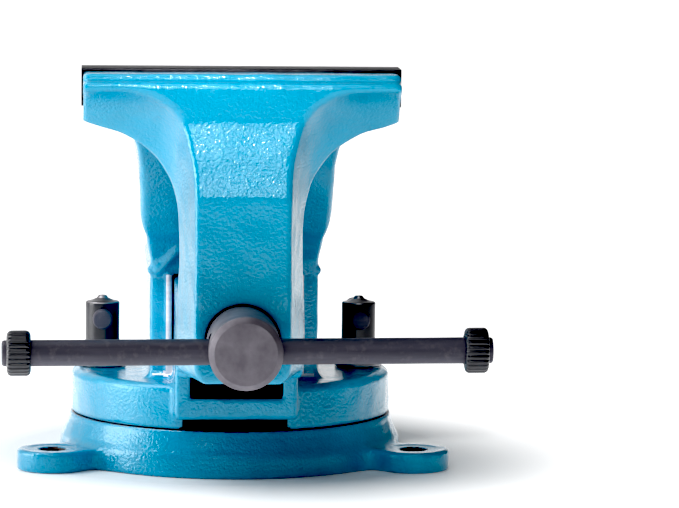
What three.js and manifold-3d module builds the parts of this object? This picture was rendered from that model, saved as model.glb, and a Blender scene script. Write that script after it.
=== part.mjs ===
// Bench vise with a swivel base, 6 inch jaws.
// Millimetres, +Z up.  Origin: the swivel axis on the underside of the base.
// -Y is the user's side (nose of the screw), +X is to the right of the user.
import * as THREE from 'three';
import { mergeVertices } from 'three/addons/utils/BufferGeometryUtils.js';
import Module from 'manifold-3d';

const wasm = await Module();
wasm.setup();

// ---------------------------------------------------------------- dimensions
const GAP = 0.35;               // clearance between pieces that touch
// swivel base
const BASE_R_FOOT = 87;         // radius at the foot
const BASE_R_MID = 86;          // radius at the top of the lugs
const BASE_R_TOP = 81.5;        // radius at the top ring
const BASE_H = 23;
const LUG_H = 10.5;
const LUG_PCR = 104;            // radius of the circle of bench bolts
const LUG_R = 17;               // end radius of a lug
const LUG_HOLE_R = 6.35;
const LUG_ANGLES = [-150, -30, 90];
const SLOT_R0 = 58.8, SLOT_R1 = 71.6;     // mouth of the round T-slot
const TRACK_R0 = 54.7, TRACK_R1 = 75.7;   // its undercut
const TRACK_Z0 = 5, TRACK_Z1 = 14;
const PIVOT_R = 20, PIVOT_Z = 12;         // centring spigot of the turntable
// turntable and fixed jaw
const DISC_R = 81, DISC_Z0 = 23.4, DISC_Z1 = 45.2;
const HOUSE_X = 41.8, HOUSE_Y0 = -50, HOUSE_Y1 = 75;
const TUNNEL_X = 31.2, TUNNEL_Z0 = 56.6, TUNNEL_Z1 = 97.5;
const CHANNEL_X = 22.6, CHANNEL_Z0 = 41;
const BLOCK_X = 30, BLOCK_Y0 = -93, BLOCK_Z0 = 30.5;
const JAW_HALF = 74.65;         // half width of both jaw castings
const FIXED_FACE_Y = -107, FIXED_TOP_Z = 202.8, FIXED_HEAD_BACK_Y = -66;
const ANVIL_Z = 188, ANVIL_BACK_Y = 24, ANVIL_X = 41;
const NECK_X = 45.6;            // half width of the upright above the housing
// jaw plates
const PLATE_HALF = 76.2, PLATE_T = 12.4, PLATE_Z0 = 187, PLATE_Z1 = 204.9;
const CLOSED_GAP = 0.6;
const PLATE_MID_Y = -120;
const JAW_SCREW_X = 38, JAW_SCREW_Z = 196;
// moving jaw
const MOVING_FACE_Y = -133;
const MOVING_TOP_Z = 203.5;
const BOSS_Y = -171.4;
const BEAM_X = 30, BEAM_Z0 = 57, BEAM_Z1 = 96.5, BEAM_Y1 = 165;
const BORE_X = 17, BORE_Z1 = 92;          // hollow of the beam
const APRON_BACK_Y = -143;
// screw
const AXIS_Z = 78.7;
const NOSE_R = 17.25, NOSE_Y0 = -216, NOSE_Y1 = -166;
const COUNTERBORE_R = 17.9, COUNTERBORE_Y = -163;
const SCREW_R = 10, SCREW_Y1 = 130;
const CROSS_Y = -196, CROSS_R = 7.5;
const NUT_Y0 = -45, NUT_Y1 = -10;
// handle
const BAR_R = 6.15, BAR_X0 = -112.6, BAR_X1 = 115.6;
const BAR_DROP = 1.15, BAR_TILT = THREE.MathUtils.degToRad(0.5);
const KNOB_R = 10.3, KNOB_L = 11.2;
// turntable locks
const LOCK_X = 65.2, LOCK_R = 8.6, LOCK_Z0 = 48.4, LOCK_Z1 = 78.3;
const LOCK_BAR_Z = 70.4, LOCK_BAR_R = 3.7, LOCK_BAR_Y0 = -16.6, LOCK_BAR_Y1 = 44;

// ---------------------------------------------------------------- materials
const paint = new THREE.MeshStandardMaterial({ color: 0x0a9ac8, roughness: 0.28, metalness: 0.0 });
const blackOxide = new THREE.MeshStandardMaterial({ color: 0x2b2b30, roughness: 0.45, metalness: 0.7 });
const blackGloss = new THREE.MeshStandardMaterial({ color: 0x101114, roughness: 0.22, metalness: 0.2 });
const steel = new THREE.MeshStandardMaterial({ color: 0x8b888c, roughness: 0.35, metalness: 0.9 });
const bronze = new THREE.MeshStandardMaterial({ color: 0x8a7650, roughness: 0.45, metalness: 0.8 });

// ---------------------------------------------------------------- helpers
const group = new THREE.Group();
group.name = 'bench_vise';

function solid(geometry) {
  const g = geometry.clone();
  g.deleteAttribute('normal');
  g.deleteAttribute('uv');
  const m = mergeVertices(g, 1e-4);
  return new wasm.Manifold(new wasm.Mesh({
    numProp: 3,
    vertProperties: new Float32Array(m.attributes.position.array),
    triVerts: new Uint32Array(m.index.array),
  }));
}
function geometryOf(manifold) {
  const m = manifold.getMesh();
  const g = new THREE.BufferGeometry();
  g.setAttribute('position', new THREE.BufferAttribute(new Float32Array(m.vertProperties), 3));
  g.setIndex(new THREE.BufferAttribute(new Uint32Array(m.triVerts), 1));
  g.computeVertexNormals();
  return g;
}
function put(name, shape, material) {
  const mesh = new THREE.Mesh(shape.isBufferGeometry ? shape : geometryOf(tidy(shape)), material.clone());
  mesh.name = name;
  group.add(mesh);
  return mesh;
}
// Joined and cut solids, with slivers shorter than a few micrometres closed up.
const tidy = manifold => manifold.setTolerance(0.004);
// A closed outline whose corners [x, y, r] are rounded with radius r.
function outline(corners, n = 4) {
  const pts = [];
  const count = corners.length;
  for (let i = 0; i < count; i++) {
    const [x, y, r = 0] = corners[i];
    const p = new THREE.Vector2(x, y);
    if (!r) { pts.push(p); continue; }
    const a = new THREE.Vector2(...corners[(i + count - 1) % count].slice(0, 2)).sub(p).normalize();
    const b = new THREE.Vector2(...corners[(i + 1) % count].slice(0, 2)).sub(p).normalize();
    const half = Math.acos(THREE.MathUtils.clamp(a.dot(b), -1, 1)) / 2;
    const reach = r / Math.tan(half);
    const start = p.clone().addScaledVector(a, reach);
    const end = p.clone().addScaledVector(b, reach);
    const centre = p.clone().addScaledVector(a.clone().add(b).normalize(), r / Math.sin(half));
    const a0 = Math.atan2(start.y - centre.y, start.x - centre.x);
    let a1 = Math.atan2(end.y - centre.y, end.x - centre.x);
    if (a1 - a0 > Math.PI) a1 -= 2 * Math.PI;
    if (a0 - a1 > Math.PI) a1 += 2 * Math.PI;
    for (let k = 0; k <= n; k++) {
      const t = a0 + (a1 - a0) * k / n;
      pts.push(new THREE.Vector2(centre.x + r * Math.cos(t), centre.y + r * Math.sin(t)));
    }
  }
  return new THREE.Shape(pts);
}
const mirrorX = half => half.concat(half.slice().reverse().filter(p => p[0] !== 0).map(p => [-p[0], ...p.slice(1)]));
// Prisms along each axis.  Shapes are drawn in (X,Y), (X,Z) and (Y,Z).
function prismZ(shape, z0, z1, steps = 1) {
  return new THREE.ExtrudeGeometry(shape, { depth: z1 - z0, bevelEnabled: false, steps }).translate(0, 0, z0);
}
function prismY(shape, y0, y1, steps = 1) {
  const g = new THREE.ExtrudeGeometry(shape, { depth: y1 - y0, bevelEnabled: false, steps });
  g.applyMatrix4(new THREE.Matrix4().makeBasis(
    new THREE.Vector3(1, 0, 0), new THREE.Vector3(0, 0, 1), new THREE.Vector3(0, -1, 0)));
  return g.translate(0, y1, 0);
}
function prismX(shape, x0, x1, steps = 1) {
  const g = new THREE.ExtrudeGeometry(shape, { depth: x1 - x0, bevelEnabled: false, steps });
  g.applyMatrix4(new THREE.Matrix4().makeBasis(
    new THREE.Vector3(0, 1, 0), new THREE.Vector3(0, 0, 1), new THREE.Vector3(1, 0, 0)));
  return g.translate(x0, 0, 0);
}
function box(x0, x1, y0, y1, z0, z1) {
  return new THREE.BoxGeometry(x1 - x0, y1 - y0, z1 - z0)
    .translate((x0 + x1) / 2, (y0 + y1) / 2, (z0 + z1) / 2);
}
// Turned shapes.  Profiles are [radius, position along the axis] from axis to axis.
function lathe(profile, segments) {
  return new THREE.LatheGeometry(profile.map(p => new THREE.Vector2(...p)), segments);
}
// LatheGeometry faces out when the profile runs upwards along its axis.
const turnedZ = (profile, n = 32) => lathe(profile, n).rotateX(Math.PI / 2);
const turnedY = (profile, n = 32) => lathe(profile, n);
const turnedX = (profile, n = 32) => lathe(profile, n).rotateZ(-Math.PI / 2);
const rodZ = (r, z0, z1, n = 32) => new THREE.CylinderGeometry(r, r, z1 - z0, n).rotateX(Math.PI / 2).translate(0, 0, (z0 + z1) / 2);
const rodY = (r, y0, y1, n = 32) => new THREE.CylinderGeometry(r, r, y1 - y0, n).translate(0, (y0 + y1) / 2, 0);
const rodX = (r, x0, x1, n = 32) => new THREE.CylinderGeometry(r, r, x1 - x0, n).rotateZ(Math.PI / 2).translate((x0 + x1) / 2, 0, 0);
function ringZ(r0, r1, z0, z1, n = 32) {
  return turnedZ([[r0, z0], [r1, z0], [r1, z1], [r0, z1], [r0, z0]], n);
}
function ringY(r0, r1, y0, y1, n = 32) {
  return turnedY([[r0, y0], [r1, y0], [r1, y1], [r0, y1], [r0, y0]], n);
}
// Piecewise linear table lookup.
function table(pairs, v) {
  if (v <= pairs[0][0]) return pairs[0][1];
  for (let i = 1; i < pairs.length; i++) {
    if (v <= pairs[i][0]) {
      const [a, fa] = pairs[i - 1], [b, fb] = pairs[i];
      return fa + (fb - fa) * (v - a) / (b - a);
    }
  }
  return pairs[pairs.length - 1][1];
}

// ---------------------------------------------------------------- swivel base
// A heavy ring with a round T-slot for the lock bolts, a centring socket, a
// shallow relief under the middle and three lugs for the bench bolts.
{
  let base = solid(turnedZ([
    [0, 0], [24, 0], [24, 2], [66, 2], [66, 0], [BASE_R_FOOT, 0],
    [BASE_R_MID, LUG_H + 0.8], [BASE_R_TOP + 1, BASE_H - 3], [BASE_R_TOP, BASE_H],
    [SLOT_R1, BASE_H], [SLOT_R1, TRACK_Z1], [TRACK_R1, TRACK_Z1], [TRACK_R1, TRACK_Z0],
    [TRACK_R0, TRACK_Z0], [TRACK_R0, TRACK_Z1], [SLOT_R0, TRACK_Z1], [SLOT_R0, BASE_H],
    [PIVOT_R + 0.4, BASE_H], [PIVOT_R + 0.4, PIVOT_Z - 0.8], [0, PIVOT_Z - 0.8],
  ], 60));
  for (const deg of LUG_ANGLES) {
    const flare = new THREE.Shape();
    const a = THREE.MathUtils.degToRad(31), inner = 80;
    flare.moveTo(inner * Math.cos(-a), inner * Math.sin(-a));
    flare.lineTo(86 * Math.cos(-a), 86 * Math.sin(-a));
    flare.quadraticCurveTo(87.5, -22, 98, -LUG_R * 0.935);
    flare.absarc(LUG_PCR, 0, LUG_R, -1.93, 1.93, false);
    flare.quadraticCurveTo(87.5, 22, 86 * Math.cos(a), 86 * Math.sin(a));
    flare.lineTo(inner * Math.cos(a), inner * Math.sin(a));
    flare.lineTo(inner, 0);
    const lug = new THREE.ExtrudeGeometry(flare, { depth: LUG_H, bevelEnabled: false, curveSegments: 10 });
    lug.rotateZ(THREE.MathUtils.degToRad(deg));
    const hole = rodZ(LUG_HOLE_R, -1, LUG_H + 1, 28).translate(
      LUG_PCR * Math.cos(THREE.MathUtils.degToRad(deg)), LUG_PCR * Math.sin(THREE.MathUtils.degToRad(deg)), 0);
    base = base.add(solid(lug)).subtract(solid(hole));
  }
  // Entry of the T-slot, where the square bolt heads drop in.
  const entry = rodZ((TRACK_R1 - TRACK_R0) / 2, TRACK_Z0 + 1, BASE_H + 1, 28).translate(0, (TRACK_R0 + TRACK_R1) / 2, 0);
  base = base.subtract(solid(entry));
  put('swivel_base', base, paint);
}

// ---------------------------------------------------------------- fixed jaw
{
  const disc = solid(turnedZ([
    [0, PIVOT_Z], [PIVOT_R, PIVOT_Z], [PIVOT_R, DISC_Z0],
    [DISC_R, DISC_Z0], [DISC_R - 0.6, DISC_Z1 - 2.5], [DISC_R - 3, DISC_Z1], [0, DISC_Z1],
  ], 60));
  // Upright: housing, sloping neck and anvil, seen from the side.
  const side = outline([
    [HOUSE_Y0, 30], [HOUSE_Y1, 30], [HOUSE_Y1, 112, 8], [48, 120, 30], [ANVIL_BACK_Y, 168, 8],
    [ANVIL_BACK_Y, ANVIL_Z, 4], [-58, ANVIL_Z, 5], [-64, FIXED_TOP_Z - 0.5, 3], [FIXED_FACE_Y, FIXED_TOP_Z, 1],
    [FIXED_FACE_Y, 180, 2], [-101, 176, 6], [HOUSE_Y0 - 2, 104, 4], [HOUSE_Y0, 100],
  ], 3);
  // The same upright seen from the front, as far back as the jaw head goes.
  const frontHead = outline(mirrorX([
    [0, 30], [HOUSE_X, 30], [HOUSE_X, 98], [44.2, 113], [45.6, 130], [46.6, 145], [48.6, 158], [51.2, 167],
    [55.6, 173.6], [62, 176.6], [69, 178.4], [JAW_HALF, 180.3], [JAW_HALF, FIXED_TOP_Z, 2], [0, FIXED_TOP_Z],
  ]), 3);
  const frontRest = outline(mirrorX([
    [0, 30], [HOUSE_X, 30], [HOUSE_X, 104], [NECK_X - 1, 122], [NECK_X, 146], [ANVIL_X, 172], [ANVIL_X, ANVIL_Z, 3], [0, ANVIL_Z],
  ]), 3);
  const sideSolid = solid(prismX(side, -JAW_HALF - 1, JAW_HALF + 1));
  let body = sideSolid.intersect(solid(prismY(frontHead, FIXED_FACE_Y - 1, FIXED_HEAD_BACK_Y + 4)))
    .add(sideSolid.intersect(solid(prismY(frontRest, FIXED_HEAD_BACK_Y - 20, HOUSE_Y1 + 1))))
    .add(disc);
  // Guide under the moving jaw, standing out over the rim of the turntable.
  body = body.add(solid(prismX(outline([
    [HOUSE_Y0 + 5, BLOCK_Z0], [BLOCK_Y0, BLOCK_Z0, 1.5], [BLOCK_Y0, TUNNEL_Z0 - 0.4, 3], [HOUSE_Y0 + 5, TUNNEL_Z0 - 0.4],
  ].reverse(), 3), -BLOCK_X, BLOCK_X)));
  // Machined land around the mouth of the tunnel.
  body = body.add(solid(prismY(outline([
    [-TUNNEL_X - 3.2, 46], [TUNNEL_X + 3.2, 46], [TUNNEL_X + 3.2, TUNNEL_Z1 + 2.4, 3], [-TUNNEL_X - 3.2, TUNNEL_Z1 + 2.4, 3],
  ], 3), HOUSE_Y0 - 1.2, HOUSE_Y0 + 4)));
  // Tunnel for the beam and the channel below it.
  body = body.subtract(solid(prismY(outline([
    [-TUNNEL_X, TUNNEL_Z0], [TUNNEL_X, TUNNEL_Z0], [TUNNEL_X, TUNNEL_Z1, 2], [-TUNNEL_X, TUNNEL_Z1, 2],
  ], 2), BLOCK_Y0 - 5, HOUSE_Y1 + 5)));
  body = body.subtract(solid(box(-CHANNEL_X, CHANNEL_X, BLOCK_Y0 - 5, HOUSE_Y1 + 10, CHANNEL_Z0, TUNNEL_Z0 + 1)));
  // Relief in the rim under the guide.
  body = body.subtract(solid(box(-36, 36, -90, -75.5, DISC_Z0 - 1, BLOCK_Z0 - 0.5)));
  // Holes of the two lock bolts and of the nut's bolt.
  for (const x of [-LOCK_X, LOCK_X]) body = body.subtract(solid(rodZ(6.7, 20, 50, 24).translate(x, 0, 0)));
  body = body.subtract(solid(rodZ(6.5, 20, 45, 24).translate(0, -28, 0)));
  body = body.subtract(solid(rodZ(11, 20, 32.6, 24).translate(0, -28, 0)));
  // Blind tapped holes of the jaw plate's screws.
  for (const x of [-JAW_SCREW_X, JAW_SCREW_X])
    body = body.subtract(solid(rodY(4.3, FIXED_FACE_Y - 2, FIXED_FACE_Y + 21, 20).translate(x, 0, JAW_SCREW_Z)));
  put('static_jaw_body', body, paint);
}

// ---------------------------------------------------------------- moving jaw
{
  // Front view of the neck at its back face, and how wide it is at the front.
  const backHalf = [
    [0, 58.6], [25, 58.6], [28.8, 60.3], [30.5, 64.4], [30.4, 76], [29.8, 94], [29.5, 114], [29.5, 125],
    [29.8, 135], [30.7, 142], [33, 150.5], [36.4, 157], [41.4, 164], [47.9, 169.5], [54.9, 173.5],
    [62, 175.8], [69, 177.6], [JAW_HALF, 180.3], [JAW_HALF, 190], [JAW_HALF, 197], [0, 197],
  ];
  const backWidth = backHalf.slice(1, -1).map(p => [p[1], p[0]]);
  const frontWidth = [
    [58.6, 19], [64.4, 22.4], [98, 22.5], [134, 22.3], [150, 22.3], [160, 22.9], [166, 23.8], [173, 25.2], [180, 27.8],
    [186, 31], [190, 36], [194.5, 43], [197, 52],
  ];
  const neck = prismY(new THREE.Shape(mirrorX(backHalf).map(p => new THREE.Vector2(...p))), -190, MOVING_FACE_Y, 6);
  const pos = neck.attributes.position;
  for (let i = 0; i < pos.count; i++) {
    const z = pos.getZ(i), t = (MOVING_FACE_Y - pos.getY(i)) / (MOVING_FACE_Y - BOSS_Y);
    const w0 = table(backWidth, z), w1 = table(frontWidth, z);
    pos.setX(i, pos.getX(i) * (1 + (w1 / w0 - 1) * Math.min(t, 1.3)));
  }
  const side = outline([
    [MOVING_FACE_Y, 58], [MOVING_FACE_Y, 197], [-162, 197], [-161.6, 184, 20], [BOSS_Y, 148, 30], [BOSS_Y, 58],
  ], 4);
  let jaw = solid(neck).intersect(solid(prismX(side, -80, 80)));
  // Head: a bar across the top whose underside is scooped towards the front.
  jaw = jaw.add(solid(prismX(outline([
    [MOVING_FACE_Y, 180.3], [-139.5, 180.3, 1], [-148, 184.5, 10], [-161.8, 193.5, 1.5], [-162, 200.3, 2.5], [-153.4, 200.6],
    [-152.6, MOVING_TOP_Z, 1], [MOVING_FACE_Y, MOVING_TOP_Z],
  ], 3), -JAW_HALF, JAW_HALF)));
  // Beam: an upside-down channel that slides through the fixed jaw.
  jaw = jaw.add(solid(prismY(outline([
    [-BEAM_X, BEAM_Z0], [BEAM_X, BEAM_Z0], [BEAM_X, BEAM_Z1, 2], [-BEAM_X, BEAM_Z1, 2],
  ], 3), APRON_BACK_Y - 6, BEAM_Y1)));
  // Root of the neck behind, where it runs into the beam.
  jaw = jaw.add(solid(prismX(outline([
    [MOVING_FACE_Y - 4, 90], [MOVING_FACE_Y + 9, 92], [MOVING_FACE_Y + 9, BEAM_Z1 - 0.4], [MOVING_FACE_Y + 2, 99], [MOVING_FACE_Y, 106], [MOVING_FACE_Y - 4, 112],
  ], 3), -28.5, 28.5)));
  jaw = jaw.subtract(solid(prismY(outline([
    [-BORE_X, BEAM_Z0 - 12], [BORE_X, BEAM_Z0 - 12], [BORE_X, BORE_Z1, 5], [-BORE_X, BORE_Z1, 5],
  ], 3), APRON_BACK_Y, BEAM_Y1 + 5)));
  // Bearing of the screw in the apron, with its counterbore.
  jaw = jaw.subtract(solid(rodY(SCREW_R + 0.5, -180, -120, 32).translate(0, 0, AXIS_Z)));
  jaw = jaw.subtract(solid(rodY(COUNTERBORE_R, -180, COUNTERBORE_Y, 48).translate(0, 0, AXIS_Z)));
  for (const x of [-JAW_SCREW_X, JAW_SCREW_X])
    jaw = jaw.subtract(solid(rodY(4.3, MOVING_FACE_Y - 18, MOVING_FACE_Y + 2, 20).translate(x, 0, JAW_SCREW_Z)));
  put('dynamic_jaw', jaw, paint);
}

// ---------------------------------------------------------------- jaw plates
// side = -1: plate of the moving jaw, in front; side = 1: plate of the fixed jaw.
for (const [name, side] of [['front', -1], ['rear', 1]]) {
  const yFace = PLATE_MID_Y + side * CLOSED_GAP / 2;
  const yBack = yFace + side * PLATE_T;
  const y0 = Math.min(yFace, yBack), y1 = Math.max(yFace, yBack);
  let plate = solid(prismX(outline([
    [y0, PLATE_Z0, 0.6], [y1, PLATE_Z0, 0.6], [y1, PLATE_Z1, 0.8], [y0, PLATE_Z1, 0.8],
  ], 2), -PLATE_HALF, PLATE_HALF));
  for (const [tag, x] of [['left', -JAW_SCREW_X], ['right', JAW_SCREW_X]]) {
    plate = plate.subtract(solid(rodY(4.5, y0 - 1, y1 + 1, 20).translate(x, 0, JAW_SCREW_Z)));
    const deep = yFace + side * 7;
    plate = plate.subtract(solid(rodY(7.1, Math.min(yFace - side, deep), Math.max(yFace - side, deep), 24).translate(x, 0, JAW_SCREW_Z)));
    // Cap screw, its socket towards the work.
    const headTop = yFace + side * 0.9, headBottom = yFace + side * (7 - GAP), tip = yFace + side * 30;
    let screw = solid(rodY(6.6, Math.min(headTop, headBottom), Math.max(headTop, headBottom), 24))
      .add(solid(rodY(3.9, Math.min(headBottom - side, tip), Math.max(headBottom - side, tip), 20)));
    screw = screw.subtract(solid(rodY(3.5, Math.min(headTop - side, headTop + side * 3.6), Math.max(headTop - side, headTop + side * 3.6), 6)));
    put(`${name}_jaw_screw_${tag}`, screw.translate([x, 0, JAW_SCREW_Z]), steel);
  }
  put(`${name}_jaw_plate`, plate, blackOxide);
}

// ---------------------------------------------------------------- screw
{
  let screw = solid(turnedY([
    [0, NOSE_Y0], [14.5, NOSE_Y0], [NOSE_R, NOSE_Y0 + 2.6], [NOSE_R, NOSE_Y1], [SCREW_R, NOSE_Y1],
    [SCREW_R, SCREW_Y1 - 2], [SCREW_R - 2, SCREW_Y1], [0, SCREW_Y1],
  ], 48));
  screw = screw.subtract(solid(rodX(CROSS_R, -30, 30, 32).translate(0, CROSS_Y, 0)));
  // Hole of the cross pin that holds the retaining collar.
  screw = screw.subtract(solid(rodZ(1.9, -20, 20, 14).translate(0, -119, 0)));
  put('spindle', screw.translate([0, 0, AXIS_Z]), steel);
}
put('thrust_washer', ringY(SCREW_R + 0.5, 17, NOSE_Y1 + GAP, COUNTERBORE_Y - GAP, 36).translate(0, 0, AXIS_Z), bronze);
// Spring, washer, collar and pin that draw the moving jaw along when the screw is backed out.
{
  class Helix extends THREE.Curve {
    getPoint(t, target = new THREE.Vector3()) {
      const a = t * 3.5 * 2 * Math.PI;
      return target.set(11.5 * Math.cos(a), -141.2 + 11.6 * t, 11.5 * Math.sin(a));
    }
  }
  const wire = new THREE.Shape();
  wire.absarc(0, 0, 1.05, 0, 2 * Math.PI, false);
  const coil = new THREE.ExtrudeGeometry(wire, { steps: 36, curveSegments: 3, bevelEnabled: false, extrudePath: new Helix() });
  put('retainer_spring', solid(coil).translate([0, 0, AXIS_Z]), steel);
}
put('spring_washer', ringY(SCREW_R + 0.45, 13, -127.6, -125.6, 24).translate(0, 0, AXIS_Z), steel);
{
  let collar = solid(ringY(SCREW_R + 0.35, 13, -125.2, -113, 32));
  collar = collar.subtract(solid(rodZ(1.9, -20, 20, 14).translate(0, -119, 0)));
  put('retainer_collar', collar.translate([0, 0, AXIS_Z]), steel);
}
put('retainer_pin', rodZ(1.55, AXIS_Z - 12.6, AXIS_Z + 12.6, 14).translate(0, -119, 0), steel);

// ---------------------------------------------------------------- nut
{
  let nut = solid(prismY(outline(mirrorX([
    [0, CHANNEL_Z0 + GAP], [21, CHANNEL_Z0 + GAP], [21, 50], [15.5, 53], [15.5, 86], [11, 91.2], [0, 91.2],
  ]), 2), NUT_Y0, NUT_Y1));
  nut = nut.subtract(solid(rodY(SCREW_R + 0.4, NUT_Y0 - 2, NUT_Y1 + 2, 32).translate(0, 0, AXIS_Z)));
  nut = nut.subtract(solid(rodZ(6.35, 30, 62, 20).translate(0, -28, 0)));
  put('spindle_nut', nut, bronze);
  let bolt = solid(rodZ(6, 31, 60.5, 20)).add(solid(rodZ(10.4, 24.6, 32.2, 6)));
  put('nut_bolt', bolt.translate([0, -28, 0]), steel);
}

// ---------------------------------------------------------------- handle
// The bar lies on the bottom of its hole and leans a little; it and the knobs
// share one tilted group.
{
  const handle = new THREE.Group();
  handle.position.set(0, CROSS_Y, AXIS_Z - BAR_DROP);
  handle.rotation.y = -BAR_TILT;
  group.add(handle);
  const bar = solid(turnedX([
    [0, BAR_X0], [BAR_R - 1, BAR_X0], [BAR_R, BAR_X0 + 1], [BAR_R, BAR_X1 - 1], [BAR_R - 1, BAR_X1], [0, BAR_X1],
  ], 32));
  const barMesh = put('handle_bar', bar, blackOxide);
  handle.add(barMesh);
  for (const [tag, x0] of [['left', BAR_X0 + 2.3], ['right', BAR_X1 - 2.1 - KNOB_L]]) {
    const x1 = x0 + KNOB_L, r0 = BAR_R + GAP;
    const knob = solid(turnedX([
      [r0, x0], [KNOB_R - 2, x0], [KNOB_R, x0 + 2], [KNOB_R, x1 - 2], [KNOB_R - 2, x1], [r0, x1], [r0, x0],
    ], 36));
    handle.add(put(`handle_knob_${tag}`, knob, blackGloss));
  }
}

// ---------------------------------------------------------------- turntable locks
for (const [tag, x] of [['left', -LOCK_X], ['right', LOCK_X]]) {
  // T-bolt in the round slot of the base.
  const stud = solid(rodZ(6, 12, 61.5, 24)).add(solid(box(-9.3, 9.3, -10, 10, TRACK_Z0 + 0.4, TRACK_Z1 - 0.5)));
  put(`lock_stud_${tag}`, stud.translate([x, 0, 0]), steel);
  put(`lock_washer_${tag}`, ringZ(6.5, 12, DISC_Z1 + GAP, LOCK_Z0 - GAP, 24).translate(x, 0, 0), steel);
  // Tall round nut with a nib on top and a cross hole for its bar.
  let post = solid(turnedZ([
    [0, LOCK_Z0], [LOCK_R, LOCK_Z0], [LOCK_R, LOCK_Z1 - 0.7], [LOCK_R - 0.7, LOCK_Z1],
    [3.4, LOCK_Z1], [2.9, LOCK_Z1 + 3], [0, LOCK_Z1 + 3.3],
  ], 28));
  post = post.subtract(solid(rodZ(6.35, LOCK_Z0 - 2, 62.5, 24)));
  post = post.subtract(solid(rodY(LOCK_BAR_R + 0.45, -20, 20, 16).translate(0, 0, LOCK_BAR_Z)));
  put(`lock_nut_${tag}`, post.translate([x, 0, 0]), blackGloss);
  const bar = solid(turnedY([
    [0, LOCK_BAR_Y0], [4.2, LOCK_BAR_Y0], [5, LOCK_BAR_Y0 + 0.9], [5, LOCK_BAR_Y0 + 6.6], [4.4, LOCK_BAR_Y0 + 7.4], [LOCK_BAR_R, LOCK_BAR_Y0 + 7.4],
    [LOCK_BAR_R, LOCK_BAR_Y1 - 7.4], [4.4, LOCK_BAR_Y1 - 7.4], [5, LOCK_BAR_Y1 - 6.6], [5, LOCK_BAR_Y1 - 0.9], [4.2, LOCK_BAR_Y1], [0, LOCK_BAR_Y1],
  ], 20));
  put(`lock_bar_${tag}`, bar.translate([x, 0, LOCK_BAR_Z]), blackOxide);
}

export default group;
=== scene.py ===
import math

import bmesh
import bpy
import numpy as np
from mathutils import Euler, Matrix, Vector


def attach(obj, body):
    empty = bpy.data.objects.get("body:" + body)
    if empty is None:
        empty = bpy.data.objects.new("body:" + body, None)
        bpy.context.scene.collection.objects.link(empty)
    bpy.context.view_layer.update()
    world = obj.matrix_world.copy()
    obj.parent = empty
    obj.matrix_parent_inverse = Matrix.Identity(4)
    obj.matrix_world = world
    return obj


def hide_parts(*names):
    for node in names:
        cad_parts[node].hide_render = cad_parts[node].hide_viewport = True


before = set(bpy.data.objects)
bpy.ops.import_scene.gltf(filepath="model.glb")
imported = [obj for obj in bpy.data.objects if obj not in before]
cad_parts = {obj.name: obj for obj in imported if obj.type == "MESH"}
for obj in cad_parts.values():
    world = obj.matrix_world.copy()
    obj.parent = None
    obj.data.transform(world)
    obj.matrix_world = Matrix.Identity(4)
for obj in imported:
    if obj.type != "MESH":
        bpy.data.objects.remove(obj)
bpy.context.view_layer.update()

scene = bpy.context.scene
RNG = np.random.default_rng(7)

# ------------------------------------------------------------------ camera
cam_data = bpy.data.cameras.new("camera")
cam_data.sensor_width = 36.0
cam_data.lens = 4344.94 * 36.0 / 679.0
cam_data.clip_start, cam_data.clip_end = 0.1, 60
cam = bpy.data.objects.new("camera", cam_data)
cam.location = (-0.0743128, -2.1962875, 0.3363095)
cam.rotation_euler = Euler([math.radians(a) for a in (83.9335, -0.5548, -3.3154)], "XYZ")
scene.collection.objects.link(cam)
scene.camera = cam

# ------------------------------------------------------------------ solids as distance fields
# Every casting is a signed distance field in millimetres, meshed by surface nets.


def smax(a, b, r):
    """Intersection with its edge rounded to radius r."""
    u, v = np.maximum(a + r, 0), np.maximum(b + r, 0)
    return np.minimum(np.maximum(a, b), -r) + np.sqrt(u * u + v * v)


def smin(a, b, r):
    """Union with a fillet of radius r."""
    return -smax(-a, -b, r)


def cut(a, b, r=0.6):
    return smax(a, -b, r)


def box(x, y, z, lo, hi, r=0.0):
    c = [(lo[i] + hi[i]) / 2 for i in range(3)]
    h = [(hi[i] - lo[i]) / 2 - r for i in range(3)]
    q = [np.abs(p - c[i]) - h[i] for i, p in enumerate((x, y, z))]
    out = np.sqrt(sum(np.maximum(k, 0) ** 2 for k in q))
    return out + np.minimum(np.maximum(np.maximum(q[0], q[1]), q[2]), 0) - r


def rod(u, v, w, r, w0, w1, e=0.0):
    """Cylinder of radius r about w, from w0 to w1, its edges rounded by e."""
    return smax(np.hypot(u, v) - r, np.abs(w - (w0 + w1) / 2) - (w1 - w0) / 2, max(e, 1e-3))


def polygon(u, v, pts):
    """Signed distance to a closed polygon. A point's coordinates may be arrays."""
    d = np.full(np.shape(u), 1e18)
    inside = np.zeros(np.shape(u), bool)
    n = len(pts)
    for i in range(n):
        ax, ay = pts[i]
        bx, by = pts[(i + 1) % n]
        ex, ey = bx - ax, by - ay
        wx, wy = u - ax, v - ay
        k = np.clip((wx * ex + wy * ey) / np.maximum(ex * ex + ey * ey, 1e-9), 0, 1)
        d = np.minimum(d, (wx - ex * k) ** 2 + (wy - ey * k) ** 2)
        with np.errstate(divide="ignore", invalid="ignore"):
            cross = ((ay > v) != (by > v)) & (u < (bx - ax) * (v - ay) / (by - ay) + ax)
        inside ^= cross
    return np.where(inside, -1, 1) * np.sqrt(d)


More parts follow.
